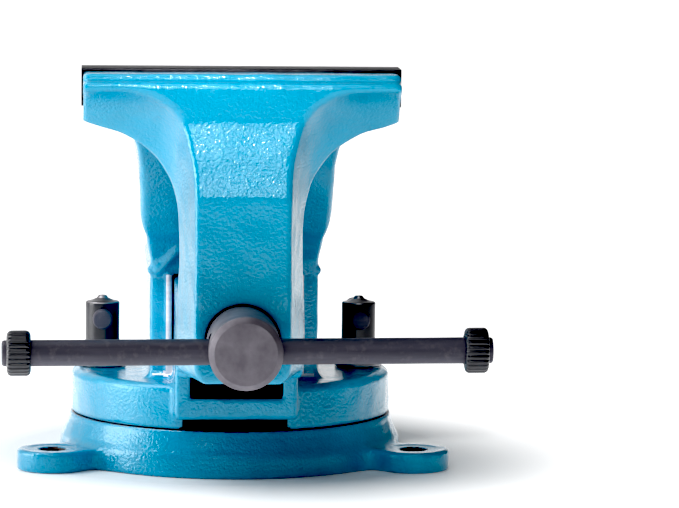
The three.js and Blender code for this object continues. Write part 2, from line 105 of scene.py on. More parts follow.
def rounded(corners, n=6):
    """Polygon whose corners (x, y, r) are rounded."""
    out, m = [], len(corners)
    for i, c in enumerate(corners):
        p = np.array(c[:2], float)
        r = c[2] if len(c) > 2 else 0
        if not r:
            out.append(tuple(p))
            continue
        a = np.array(corners[(i - 1) % m][:2], float) - p
        b = np.array(corners[(i + 1) % m][:2], float) - p
        a, b = a / np.linalg.norm(a), b / np.linalg.norm(b)
        half = math.acos(max(-1, min(1, float(a @ b)))) / 2
        reach = r / math.tan(half)
        s, e = p + a * reach, p + b * reach
        mid = (a + b) / np.linalg.norm(a + b)
        c0 = p + mid * r / math.sin(half)
        t0 = math.atan2(s[1] - c0[1], s[0] - c0[0])
        t1 = math.atan2(e[1] - c0[1], e[0] - c0[0])
        while t1 - t0 > math.pi:
            t1 -= 2 * math.pi
        while t0 - t1 > math.pi:
            t1 += 2 * math.pi
        for k in range(n + 1):
            t = t0 + (t1 - t0) * k / n
            out.append((c0[0] + r * math.cos(t), c0[1] + r * math.sin(t)))
    return out


def surface(func, lo, hi, h):
    """Vertices and quads of func's zero surface by surface nets, refined onto it."""
    lo = np.array(lo, float) - 2.5 * h
    hi = np.array(hi, float) + 2.5 * h
    nb = 4
    blocks = np.ceil((hi - lo) / (h * nb)).astype(int)
    n = blocks * nb + 1
    axes = [lo[i] + h * np.arange(n[i]) for i in range(3)]
    mids = [lo[i] + h * (np.arange(blocks[i]) + 0.5) * nb for i in range(3)]
    gx, gy, gz = np.meshgrid(*mids, indexing="ij")
    coarse = func(gx.ravel(), gy.ravel(), gz.ravel()).reshape(blocks)
    near = np.abs(coarse) < h * nb * 0.5 * math.sqrt(3) * 1.35 + 0.8 * h
    field = np.repeat(np.repeat(np.repeat(np.sign(coarse) * 1e3, nb, 0), nb, 1), nb, 2)
    field = np.pad(field, [(0, 1)] * 3, mode="edge")
    mask = np.repeat(np.repeat(np.repeat(near, nb, 0), nb, 1), nb, 2)
    mask = np.pad(mask, [(0, 1)] * 3, mode="edge")
    for ax in range(3):  # points on a block's far faces belong to it too
        s = [slice(None)] * 3
        t = [slice(None)] * 3
        s[ax], t[ax] = slice(1, None), slice(None, -1)
        grown = mask.copy()
        grown[tuple(s)] |= mask[tuple(t)]
        mask = grown
    ix, iy, iz = np.nonzero(mask)
    field[ix, iy, iz] = func(axes[0][ix], axes[1][iy], axes[2][iz])
    s = field < 0
    total = np.zeros(tuple(n - 1) + (3,), np.float32)
    count = np.zeros(tuple(n - 1), np.int16)
    cells = [slice(0, k - 1) for k in n]
    for ax in range(3):
        a = [slice(None)] * 3
        b = [slice(None)] * 3
        a[ax], b[ax] = slice(None, -1), slice(1, None)
        fa, fb = field[tuple(a)], field[tuple(b)]
        cross = (fa < 0) != (fb < 0)
        t = np.where(cross, fa / np.where(cross, fa - fb, 1), 0)
        others = [k for k in range(3) if k != ax]
        for i in (0, 1):
            for j in (0, 1):
                sel = [None] * 3
                sel[ax] = slice(0, n[ax] - 1)
                sel[others[0]] = slice(i, n[others[0]] - 1 + i)
                sel[others[1]] = slice(j, n[others[1]] - 1 + j)
                c, tt = cross[tuple(sel)], t[tuple(sel)]
                count += c
                total[..., ax] += np.where(c, tt, 0)
                total[..., others[0]] += c * i
                total[..., others[1]] += c * j
    live = count > 0
    index = np.full(live.shape, -1, np.int64)
    index[live] = np.arange(live.sum())
    cx, cy, cz = np.nonzero(live)
    verts = np.stack([cx, cy, cz], 1) + total[live] / count[live][:, None]
    verts = verts * h + lo
    quads = []
    for ax in range(3):
        a = [slice(None)] * 3
        b = [slice(None)] * 3
        a[ax], b[ax] = slice(None, -1), slice(1, None)
        sa, sb = s[tuple(a)], s[tuple(b)]
        i, j, k = np.nonzero(sa != sb)
        o1, o2 = [(1, 2), (2, 0), (0, 1)][ax]
        p = np.stack([i, j, k], 1)
        q = []
        for d1, d2 in ((0, 0), (-1, 0), (-1, -1), (0, -1)):
            c = p.copy()
            c[:, o1] += d1
            c[:, o2] += d2
            q.append(index[c[:, 0], c[:, 1], c[:, 2]])
        q = np.stack(q, 1)
        flip = ~sa[i, j, k]
        q[flip] = q[flip][:, ::-1]
        quads.append(q)
    quads = np.concatenate(quads)
    quads = quads[(quads >= 0).all(1)]
    # Newton steps towards the true surface, a little at a time.
    e = 0.15
    for _ in range(3):
        x, y, z = verts.T
        f = func(x, y, z)
        g = np.stack([func(x + e, y, z) - func(x - e, y, z), func(x, y + e, z) - func(x, y - e, z),
                      func(x, y, z + e) - func(x, y, z - e)], 1) / (2 * e)
        g2 = np.maximum((g * g).sum(1), 0.25)
        step = np.clip(f / g2, -0.45 * h, 0.45 * h)
        verts = verts - g * (step * 0.9)[:, None]
    return verts, quads


def mesh_object(name, verts, faces, material, smooth=True):
    """verts in millimetres."""
    me = bpy.data.meshes.new(name)
    verts = np.asarray(verts, np.float32) * 0.001
    faces = np.asarray(faces)
    me.vertices.add(len(verts))
    me.vertices.foreach_set("co", verts.ravel())
    k = faces.shape[1]
    me.loops.add(faces.size)
    me.loops.foreach_set("vertex_index", faces.ravel().astype(np.int32))
    me.polygons.add(len(faces))
    me.polygons.foreach_set("loop_start", (np.arange(len(faces)) * k).astype(np.int32))
    me.polygons.foreach_set("use_smooth", np.full(len(faces), smooth))
    me.update(calc_edges=True)
    me.validate()
    ob = bpy.data.objects.new(name, me)
    me.materials.append(material)
    scene.collection.objects.link(ob)
    return ob


def sharpen(ob, degrees=32):
    """Smooth shading that breaks at edges sharper than the angle."""
    bm = bmesh.new()
    bm.from_mesh(ob.data)
    limit = math.radians(degrees)
    for e in bm.edges:
        e.smooth = len(e.link_faces) == 2 and e.calc_face_angle(0) < limit
    for f in bm.faces:
        f.smooth = True
    bm.to_mesh(ob.data)
    bm.free()
    return ob


def apply_modifiers(ob):
    dg = bpy.context.evaluated_depsgraph_get()
    me = bpy.data.meshes.new_from_object(ob.evaluated_get(dg))
    old = ob.data
    ob.modifiers.clear()
    ob.data = me
    bpy.data.meshes.remove(old)
    return ob


def subtract(ob, *cutters):
    """Exact boolean cuts; the cutters go."""
    for c in cutters:
        m = ob.modifiers.new("cut", "BOOLEAN")
        m.operation, m.solver, m.object = "DIFFERENCE", "EXACT", c
    bpy.context.view_layer.update()
    apply_modifiers(ob)
    for c in cutters:
        bpy.data.objects.remove(c)
    return ob


def turned(name, profile, material, axis="Z", at=(0, 0, 0), seg=64, radius=None, closed=False):
    """A turned solid. profile is (radius, height) pairs; closed joins the last pair to the first, otherwise both ends
    are on the axis. radius(theta, r, h) may change each point's radius."""
    th = np.arange(seg) * 2 * math.pi / seg
    rows = [p for p in profile]
    verts, faces = [], []
    caps = {}
    for i, (r, h) in enumerate(rows):
        if r <= 1e-9:
            caps[i] = len(verts)
            verts.append((0, 0, h))
            continue
        caps[i] = len(verts)
        rr = np.full(seg, r) if radius is None else radius(th, r, h)
        for t, q in zip(th, rr):
            verts.append((q * math.cos(t), q * math.sin(t), h))
    pairs = [(i, i + 1) for i in range(len(rows) - 1)]
    if closed:
        pairs.append((len(rows) - 1, 0))
    for i, j in pairs:
        a, b = caps[i], caps[j]
        pa, pb = rows[i][0] <= 1e-9, rows[j][0] <= 1e-9
        for k in range(seg):
            k2 = (k + 1) % seg
            if pa and pb:
                continue
            if pa:
                faces.append((a, b + k, b + k2))
            elif pb:
                faces.append((a + k, b, a + k2)[::-1] if False else (a + k2, a + k, b))
            else:
                faces.append((a + k, b + k, b + k2, a + k2))
    bm = bmesh.new()
    vs = [bm.verts.new(v) for v in verts]
    for f in faces:
        bm.faces.new([vs[i] for i in f])
    bmesh.ops.recalc_face_normals(bm, faces=bm.faces)
    turn = {"Z": Matrix.Identity(4), "Y": Matrix.Rotation(-math.pi / 2, 4, "X"), "X": Matrix.Rotation(math.pi / 2, 4, "Y")}[axis]
    if isinstance(at, Matrix):
        m = at @ turn
    else:
        m = Matrix.Translation(at) @ turn
    bm.transform(m)
    bm.transform(Matrix.Scale(0.001, 4))
    me = bpy.data.meshes.new(name)
    bm.to_mesh(me)
    bm.free()
    me.materials.append(material)
    ob = bpy.data.objects.new(name, me)
    scene.collection.objects.link(ob)
    return sharpen(ob)


def fillet(corners, n=5):
    """An open profile whose corners (r, h, radius) are rounded."""
    first, last = corners[0], corners[-1]
    pts = rounded([(first[0], first[1])] + list(corners[1:-1]) + [(last[0], last[1])], n)
    return pts


# ------------------------------------------------------------------ materials
def srgb(r, g, b):
    f = lambda c: (c / 12.92 if c <= 0.04045 else ((c + 0.055) / 1.055) ** 2.4)
    return tuple(f(c / 255) for c in (r, g, b)) + (1,)


class Nodes:
    def __init__(self, name):
        self.mat = bpy.data.materials.new(name)
        self.mat.use_nodes = True
        self.tree = self.mat.node_tree
        self.tree.nodes.clear()
        self.out = self.new("ShaderNodeOutputMaterial")
        self.bsdf = self.new("ShaderNodeBsdfPrincipled")
        self.link(self.bsdf.outputs[0], self.out.inputs[0])
        self.coord = self.new("ShaderNodeTexCoord").outputs["Object"]
        self.height = None

    def new(self, kind, **values):
        n = self.tree.nodes.new(kind)
        for k, v in values.items():
            setattr(n, k, v)
        return n

    def link(self, a, b):
        self.tree.links.new(a, b)

    def noise(self, scale, detail=3, rough=0.5, vector=None, distortion=0.0):
        n = self.new("ShaderNodeTexNoise")
        n.inputs["Scale"].default_value = scale
        n.inputs["Detail"].default_value = detail
        n.inputs["Roughness"].default_value = rough
        n.inputs["Distortion"].default_value = distortion
        self.link(vector or self.coord, n.inputs["Vector"])
        return n.outputs["Fac"]

    def mapped(self, location=(0, 0, 0), scale=(1, 1, 1), rotation=(0, 0, 0)):
        m = self.new("ShaderNodeMapping")
        m.inputs["Location"].default_value = location
        m.inputs["Scale"].default_value = scale
        m.inputs["Rotation"].default_value = rotation
        self.link(self.coord, m.inputs["Vector"])
        return m.outputs[0]

    def ramp(self, fac, stops):
        r = self.new("ShaderNodeValToRGB")
        e = r.color_ramp.elements
        while len(e) < len(stops):
            e.new(0.5)
        for k, (p, c) in zip(e, stops):
            k.position = p
            k.color = c if len(c) == 4 else (*c, 1)
        self.link(fac, r.inputs["Fac"])
        return r.outputs["Color"]

    def remap(self, fac, a, b, lo=0.0, hi=1.0):
        m = self.new("ShaderNodeMapRange")
        for k, v in (("From Min", lo), ("From Max", hi), ("To Min", a), ("To Max", b)):
            m.inputs[k].default_value = v
        self.link(fac, m.inputs["Value"])
        return m.outputs[0]

    def math(self, op, a, b):
        m = self.new("ShaderNodeMath", operation=op)
        for i, v in enumerate((a, b)):
            if isinstance(v, (int, float)):
                m.inputs[i].default_value = v
            else:
                self.link(v, m.inputs[i])
        return m.outputs[0]

    def mix(self, fac, a, b, mode="MIX"):
        m = self.new("ShaderNodeMix", data_type="RGBA", blend_type=mode)
        for i, v in ((0, fac), (6, a), (7, b)):
            if isinstance(v, (int, float, tuple)):
                m.inputs[i].default_value = v
            else:
                self.link(v, m.inputs[i])
        return m.outputs[2]

    def bump(self, height, strength, distance):
        b = self.new("ShaderNodeBump")
        b.inputs["Strength"].default_value = strength
        b.inputs["Distance"].default_value = distance
        self.link(height, b.inputs["Height"])
        if self.height:
            self.link(self.height, b.inputs["Normal"])
        self.height = b.outputs[0]
        self.link(self.height, self.bsdf.inputs["Normal"])
        self.link(self.height, self.bsdf.inputs["Coat Normal"])

    def set(self, **values):
        for k, v in values.items():
            s = self.bsdf.inputs[k.replace("_", " ")]
            if isinstance(v, (int, float, tuple)):
                s.default_value = v
            else:
                self.link(v, s)
        return self


def enamel():
    n = Nodes("blue_enamel")
    big = n.noise(14, 2)
    fine = n.noise(160, 3)
    colour = n.ramp(big, [(0.3, srgb(0, 143, 181)), (0.7, srgb(0, 153, 190))])
    colour = n.mix(n.remap(fine, 0.0, 0.25, 0.45, 0.75), colour, srgb(0, 131, 172))
    n.set(Base_Color=colour, Metallic=0.0, Roughness=n.remap(fine, 0.30, 0.42), Coat_Weight=1.0, Coat_Roughness=0.10, Specular_Tint=(0.15, 0.75, 1.0, 1.0), Coat_IOR=1.65, IOR=1.45)
    # cast grain under the paint, a slow wave and strong orange peel
    n.bump(n.noise(45, 2), 0.4, 0.0009)
    n.bump(n.noise(720, 2, 0.5), 0.9, 0.00032)
    n.bump(n.noise(1400, 1, 0.5), 0.5, 0.00012)
    return n.mat


def black_oxide():
    n = Nodes("black_oxide")
    fac = n.noise(160, 4, 0.6)
    colour = n.ramp(fac, [(0.3, srgb(38, 38, 42)), (0.62, srgb(58, 58, 63)), (0.8, srgb(78, 78, 82))])
    n.set(Base_Color=colour, Metallic=0.75, Roughness=n.remap(fac, 0.34, 0.5))
    n.bump(n.noise(700, 3), 0.25, 0.00008)
    return n.mat


def bar_oxide():
    n = Nodes("bar_oxide")
    streak = n.noise(60, 4, 0.6, n.mapped(scale=(0.25, 3, 3)))
    fac = n.noise(260, 4, 0.6)
    colour = n.mix(n.remap(streak, 0, 1, 0.35, 0.7), srgb(70, 69, 78), srgb(85, 84, 94))
    colour = n.mix(n.remap(fac, 0, 0.35, 0.52, 0.8), colour, srgb(122, 119, 124))
    n.set(Base_Color=colour, Metallic=0.12, Roughness=n.remap(fac, 0.42, 0.56))
    n.bump(n.noise(45, 3), 0.25, 0.0005)
    n.bump(n.noise(700, 3), 0.35, 0.00015)
    return n.mat


def lacquer():
    n = Nodes("black_lacquer")
    fac = n.noise(150, 3)
    n.set(Base_Color=n.ramp(fac, [(0.3, srgb(38, 39, 44)), (0.75, srgb(52, 53, 59))]), Metallic=0.0,
          Roughness=n.remap(fac, 0.24, 0.36), Coat_Weight=0.5, Coat_Roughness=0.12)
    n.bump(n.noise(600, 2), 0.2, 0.0001)
    return n.mat


def turned_steel(name, axis, at, light, dark, rough=(0.42, 0.55), pitch=0.0004):
    """Bare steel with concentric tool marks about an axis."""
    n = Nodes(name)
    loc = tuple(-a for a in at)
    v = n.mapped(location=loc)
    fac = n.noise(90, 4, 0.6)
    speck = n.noise(420, 3, 0.6)
    wave = n.new("ShaderNodeTexWave", wave_type="RINGS", rings_direction=axis)
    wave.inputs["Scale"].default_value = 1 / pitch / 20 * 3.0
    wave.inputs["Distortion"].default_value = 0.6
    wave.inputs["Detail"].default_value = 2
    wave.inputs["Detail Scale"].default_value = 2
    n.link(v, wave.inputs["Vector"])
    colour = n.mix(n.remap(fac, 0, 1, 0.3, 0.7), light, dark)
    colour = n.mix(n.remap(speck, 0, 0.4, 0.55, 0.8), colour, dark)
    n.set(Base_Color=colour, Metallic=0.45, Roughness=n.remap(fac, *rough))
    n.bump(wave.outputs["Fac"], 0.12, 0.00006)
    n.bump(speck, 0.15, 0.00006)
    return n.mat


def bare_iron(name="machined_iron", a=srgb(176, 174, 178), b=srgb(138, 134, 136), rough=(0.28, 0.42)):
    n = Nodes(name)
    streak = n.noise(40, 4, 0.6, n.mapped(scale=(1, 9, 14)))
    fac = n.noise(260, 3)
    n.set(Base_Color=n.mix(n.remap(streak, 0, 1, 0.35, 0.7), a, b), Metallic=1.0, Roughness=n.remap(fac, *rough))
    n.bump(streak, 0.12, 0.0001)
    return n.mat


ENAMEL, OXIDE, BAR, LACQUER = enamel(), black_oxide(), bar_oxide(), lacquer()
NOSE = turned_steel("nose_steel", "Y", (0, 0, 0.0787), srgb(128, 125, 132), srgb(104, 101, 108))
STEEL = bare_iron("bare_steel", srgb(168, 167, 170), srgb(128, 126, 129), (0.25, 0.4))
IRON = bare_iron()
# painted highlight: a near-white copy of the machined iron for the machined land beside the tunnel
LAND_PAINTED_HIGHLIGHT_IRON = bare_iron("machined_iron_painted_highlight", srgb(236, 234, 240), srgb(214, 210, 216), (0.5, 0.62))
# painted shade: a darker copy of the machined iron, put on bores, tunnels and recesses
SHADE_DARKENED_IRON = bare_iron("machined_iron_painted_shade", srgb(92, 84, 82), srgb(60, 54, 52), (0.5, 0.7))
BRONZE = bare_iron("bronze", srgb(170, 140, 96), srgb(134, 106, 70), (0.3, 0.45))

# ------------------------------------------------------------------ castings
H = 1.3
_waves = [(RNG.normal(size=3), RNG.uniform(0, 6.28), w) for w in (11, 14, 17, 21, 26, 33) for _ in (0, 1)]


def wavy(x, y, z, amp=0.10):
    """Slow unevenness of a sand casting."""
    out = 0
    for d, p, w in _waves:
        d = d / np.linalg.norm(d) * 2 * math.pi / w
        out = out + np.sin(x * d[0] + y * d[1] + z * d[2] + p)
    return out * amp / 3.0


def smooth_curve(pts, n=3):
    """Catmull-Rom through open points."""
    p = np.array([pts[0]] + list(pts) + [pts[-1]], float)
    out = []
    for i in range(1, len(p) - 2):
        for k in range(n):
            t = k / n
            a, b, c, d = p[i - 1], p[i], p[i + 1], p[i + 2]
            out.append(0.5 * (2 * b + (c - a) * t + (2 * a - 5 * b + 4 * c - d) * t * t + (3 * b - a - 3 * c + d) * t ** 3))
    out.append(p[-2])
    return np.array(out)


# outline of the moving jaw seen from the front, half of it: at its back face and at its front face
M_BACK = smooth_curve([(74.65, 180.3), (67.8, 177.9), (60, 175.7), (54.9, 173.6), (47.9, 169.5), (41.4, 164), (36.4, 157),
                       (33, 150.5), (30.7, 142), (29.8, 135), (29.4, 125), (29.4, 114), (29.8, 94), (30.4, 76), (30.5, 65),
                       (28.7, 60.6), (24.8, 58.8)])
M_FRONT = smooth_curve([(74.65, 196.6), (66, 196.7), (58, 196.7), (50.6, 196.2), (43, 194.2), (35.6, 190), (30.4, 184.5),
                        (27.2, 178), (24.6, 168), (23.0, 158), (22.4, 147), (22.3, 125), (22.5, 98), (22.6, 76), (22.4, 67),
                        (20.8, 61.6), (17.5, 58.8)])
M_SIDE = rounded([(-133, 40), (-171.4, 40), (-171.4, 147, 6), (-162, 182, 14), (-162, 200.1, 3.2), (-153.2, 200.7, 0.6),
                  (-152.4, 203.5, 1.3), (-133, 203.5, 0.8)])


def moving(x, y, z):
    ax = np.abs(x)
    front = np.interp(M_FRONT[:, 1], [147, 182], [-171.4, -162])
    pts = []
    for (bx, bz), (fx, fz), fy in zip(M_BACK, M_FRONT, front):
        t = np.clip((-138.5 - y) / (-138.5 - fy), 0, 1)
        scoop = min(max((fz - 175) / 15, 0), 1)
        t = t + 0.13 * scoop * np.sin(math.pi * t)
        pts.append((bx + (fx - bx) * t, bz + (fz - bz) * t))
    pts = [(px + 0.6 * np.clip((px - 60) / 14, 0, 1) * (x < 0), pz) for px, pz in pts]
    pts += [(-60, pts[-1][1]), (-60, 260), (74.65 + 0.6 * (x < 0), 260)]
    side = polygon(y, z, M_SIDE)
    body = smax(polygon(ax, z, pts) * 0.9, side, 2.0)
    beam = box(x, y, z, (-30, -134.5, 57), (30, 165, 96.5), 2.2)
    f = smin(body, beam, 3.5)
    root = smax(smin(y + 133, z - 96.5, 13), np.maximum(np.maximum(ax - 27.5, z - 116), np.maximum(-y - 140, np.maximum(y + 117, 90 - z))), 1.0)
    f = smin(f, root, 1.5)
    f = f + wavy(x, y, z) * np.clip((f + 4) / 4, 0, 1) * np.clip((163 - y) / 8, 0, 1)
    f = cut(f, box(x, y, z, (-17, -143, 30), (17, 180, 92), 5), 1.2)
    f = cut(f, rod(x, z - 78.7, y, 10.55, -190, -120), 0.6)
    f = cut(f, rod(x, z - 78.7, y, 17.95, -190, -163), 0.9)
    f = cut(f, rod(ax - 38, z - 196, y, 4.3, -151, -125), 0.3)
    return f


S_FRONT = smooth_curve([(74.65, 180.3), (69, 178.4), (62, 176.6), (55, 173.4), (49.8, 166), (46.9, 156), (45.2, 139),
                        (44.3, 120), (43.2, 108), (42.2, 101), (41.8, 95), (41.8, 60), (41.8, 20)])
S_BACK = smooth_curve([(74.65, 188.5), (69, 188), (63, 186), (57, 181.5), (52.8, 173), (49.8, 161), (47.0, 145),
                       (46.2, 130), (44.6, 115), (42.8, 105), (41.8, 95), (41.8, 60), (41.8, 20)])
S_SIDE = rounded([(-50, 20), (75, 20), (75, 112, 12), (47, 121, 34), (24, 168, 16), (24, 188, 4), (-55, 188, 8), (-62.5, 202.2, 5),
                  (-107, 202.8, 0.8), (-107, 180.5, 2), (-101, 176, 14), (-52.5, 105, 10), (-50, 98, 2)])
S_REST = rounded([(-60, 20), (41.8, 20), (41.8, 104, 20), (44.6, 122, 30), (45.6, 146, 30), (43, 170, 20), (41, 188, 3.5), (-60, 188)])


def fixed(x, y, z):
    ax = np.abs(x)
    t = np.clip((y + 104) / 38, 0, 1)
    pts = [(a[0] + (b[0] - a[0]) * t, a[1] + (b[1] - a[1]) * t) for a, b in zip(S_FRONT, S_BACK)]
    pts += [(-60, 20), (-60, 260), (74.65, 260)]
    side = polygon(y, z, S_SIDE)
    head = smax(smax(polygon(ax, z, pts), side, 2.2), y + 62, 4)
    rest = smax(smax(polygon(ax, z, S_REST), side, 2.5), -y - 84, 6)
    f = smin(head, rest, 5)
    # moulding along the housing where the neck starts
    f = smin(f, smax(np.hypot(ax - 41.4, z - 99.5) - 1.9, np.maximum(-50.2 - y, y - 60), 1), 1.2)
    r = np.hypot(x, y)
    disc = polygon(r, z, rounded([(-50, 23.4), (81, 23.4, 1), (80.5, 43.4, 2.6), (77.5, 45.2, 2), (-50, 45.2)]))
    pivot = smax(r - 20, np.abs(z - 18) - 6, 0.6)
    f = smin(f, disc, 5)
    block = box(x, y, z, (-30, -93, 30.5), (30, -38, 56.2), 2)
    f = smin(f, block, 3)
    planed = np.clip((z - 182) / 4, 0, 1) * (y > -62) * (ax < 46)
    f = f + wavy(x, y, z) * np.clip((f + 4) / 4, 0, 1) * (z > 23.9) * (1 - planed)
    f = np.minimum(f, pivot)
    f = np.minimum(f, box(x, y, z, (-34.6, -51.3, 46), (34.6, -44, 98.9), 0.3))
    # lip that runs up from the housing beside the moving jaw, on one side
    t = np.clip(((x + 37.5) * 9.5 + (z - 99.5) * 11.5) / (9.5 ** 2 + 11.5 ** 2), 0, 1)
    f = smin(f, np.sqrt((x + 37.5 - 9.5 * t) ** 2 + (z - 99.5 - 11.5 * t) ** 2 + (y + 50.6 + 4.5 * t) ** 2) - 1.8, 2.4)
    f = cut(f, box(x, y, z, (-30.75, -110, 56.6), (30.75, 90, 97.6), 1.2), 0.3)
    f = cut(f, box(x, y, z, (-22.6, -110, 41), (22.6, 95, 70), 0.8), 0.5)
    f = cut(f, box(x, y, z, (-36, -100, 10), (36, -75.5, 30), 1.5), 0.8)
    f = cut(f, rod(ax - 65.2, y, z, 6.8, 10, 60), 0.4)
    f = cut(f, rod(x, y + 28, z, 6.6, 10, 60), 0.2)
    f = cut(f, rod(x, y + 28, z, 11, 10, 32.6), 0.3)
    f = cut(f, rod(ax - 38, z - 196, y, 4.4, -115, -86), 0.3)
    return f


LUGS = [math.radians(a) for a in (-150, -30, 90)]


def base(x, y, z):
    r = np.hypot(x, y)
    body = polygon(r, z, rounded([(-50, 0), (24, 0), (24, 2), (66, 2), (66, 0), (87, 0, 1.5), (85.3, 11, 6), (81.9, 19.5, 6), (81.2, 23, 1.2), (-50, 23)]))
    plan = r - 84
    for a in LUGS:
        cx, cy = 104 * math.cos(a), 104 * math.sin(a)
        plan = smin(plan, np.hypot(x - cx, y - cy) - 17.6, 17)
    lug = smax(smax(plan, np.abs(z - 5.25) - 5.25, 1.6), 60 - r, 0.1)
    f = smin(body, lug, 4)
    f = smax(f, -z, 0.4)
    f = f + wavy(x, y, z) * np.clip((f + 4) / 4, 0, 1) * ((z > 1) & (z < 22))
    for a in LUGS:
        cx, cy = 104 * math.cos(a), 104 * math.sin(a)
        f = cut(f, rod(x - cx, y - cy, z, 6.35, -20, 40), 0.6)
        f = cut(f, rod(x - cx, y - cy, z, 12.5, 10.1, 40), 0.5)
    f = cut(f, smax(np.abs(r - 65.2) - 6.4, 10 - z, 0.2), 0.4)
    f = cut(f, smax(np.abs(r - 65.2) - 10.5, np.abs(z - 9.5) - 4.5, 0.5), 0.3)
    f = cut(f, rod(x, y - 65.2, z, 10.5, 6, 40), 0.4)
    f = cut(f, rod(x, y, z, 20.4, 11.2, 60), 0.4)
    return f


def casting(name, func, lo, hi, node, body, bare):
    """bare(centres, normals) gives the faces that are machined: 1 iron, 2 iron darkened as painted shade in bores,
    tunnels and recesses, 3 iron lightened as a painted highlight.
    """
    verts, quads = surface(func, lo, hi, H)
    ob = mesh_object(name, verts, quads, ENAMEL)
    ob.data.materials.append(IRON)
    ob.data.materials.append(SHADE_DARKENED_IRON)
    ob.data.materials.append(LAND_PAINTED_HIGHLIGHT_IRON)
    n = len(ob.data.polygons)
    c, nn = np.empty(n * 3, np.float32), np.empty(n * 3, np.float32)
    ob.data.polygons.foreach_get("center", c)
    ob.data.polygons.foreach_get("normal", nn)
    c, nn = c.reshape(-1, 3) * 1000, nn.reshape(-1, 3)
    ob.data.polygons.foreach_set("material_index", bare(c, nn).astype(np.int32))
    ob.data.update()
    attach(ob, body)
    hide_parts(node)
    return ob


def bare_moving(c, n):
    m = np.zeros(len(c), int)
    # painted shade: the bore, counterbore and inner cavity take the darkened iron
    inside = (np.hypot(c[:, 0], c[:, 2] - 78.7) < 18.2) & (c[:, 1] < -142) & (c[:, 1] > -170.3)
    m[inside] = 2
    m[(np.abs(c[:, 0]) < 17.3) & (c[:, 1] > -143.5) & (c[:, 2] < 92.4) & (c[:, 2] > 57.6)] = 2
    m[(c[:, 1] > -133.4) & (n[:, 1] > 0.9) & (c[:, 2] > 184)] = 1
    return m


def bare_fixed(c, n):
    m = np.zeros(len(c), int)
    # painted shade: the tunnel, the block top under the beam, the slot below it and the recess under the block take the
    # darkened iron
    m[(np.abs(c[:, 0]) < 31.4) & (c[:, 2] > 56.2) & (c[:, 2] < 97.9) & (c[:, 1] > -92) & (c[:, 1] < 75.5) & (c[:, 1] > -49)] = 2
    m[(np.abs(c[:, 0]) < 31) & (n[:, 2] > 0.9) & (np.abs(c[:, 2] - 56.3) < 0.7) & (c[:, 1] < -49)] = 2
    m[(np.abs(c[:, 0]) < 22.9) & (c[:, 2] > 40) & (c[:, 2] < 56) & (c[:, 1] > -92.4) & (c[:, 1] < 75.5)] = 2
    m[(c[:, 2] < 30.4) & (c[:, 2] > 23.6) & (np.abs(c[:, 0]) < 36.2) & (c[:, 1] < -74) & (np.hypot(c[:, 0], c[:, 1]) < 80)] = 2
    m[c[:, 2] < 23.7] = 1
    # painted highlight: the land's front strip beside the tunnel takes the near-white iron
    m[(np.abs(c[:, 1] + 51.3) < 0.5) & (n[:, 1] < -0.7) & (c[:, 2] > 46.5) & (c[:, 2] < 97.2) & (np.abs(c[:, 0]) > 30.6)] = 3
    m[(c[:, 1] < -106.6) & (n[:, 1] < -0.9) & (c[:, 2] > 184)] = 1
    m[(n[:, 2] > 0.93) & (c[:, 2] > 186.9) & (c[:, 2] < 188.9) & (c[:, 1] > -53) & (np.abs(c[:, 0]) < 42)] = 1
    return m


def bare_base(c, n):
    m = np.zeros(len(c), int)
    r = np.hypot(c[:, 0], c[:, 1])
    m[(c[:, 2] > 22.7) | ((r < 76) & (c[:, 2] > 4)) | (c[:, 2] < 0.25)] = 1
    # painted shade: the lug bores take the darkened iron
    for a in LUGS:
        d = np.hypot(c[:, 0] - 104 * math.cos(a), c[:, 1] - 104 * math.sin(a))
        m[d < 6.9] = 2
    return m


casting("moving_jaw_casting", moving, (-75, -172, 57), (75, 166, 204), "dynamic_jaw", "moving_jaw", bare_moving)
casting("fixed_jaw_casting", fixed, (-82, -108, 11.5), (82, 82, 203.5), "static_jaw_body", "fixed_jaw", bare_fixed)
casting("swivel_base_casting", base, (-108, -88, -0.5), (108, 122, 23.5), "swivel_base", "base", bare_base)

# ------------------------------------------------------------------ machined pieces
def finish_piece(ob, body, slot, *nodes):
    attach(ob, body)
    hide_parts(*nodes)
    return ob


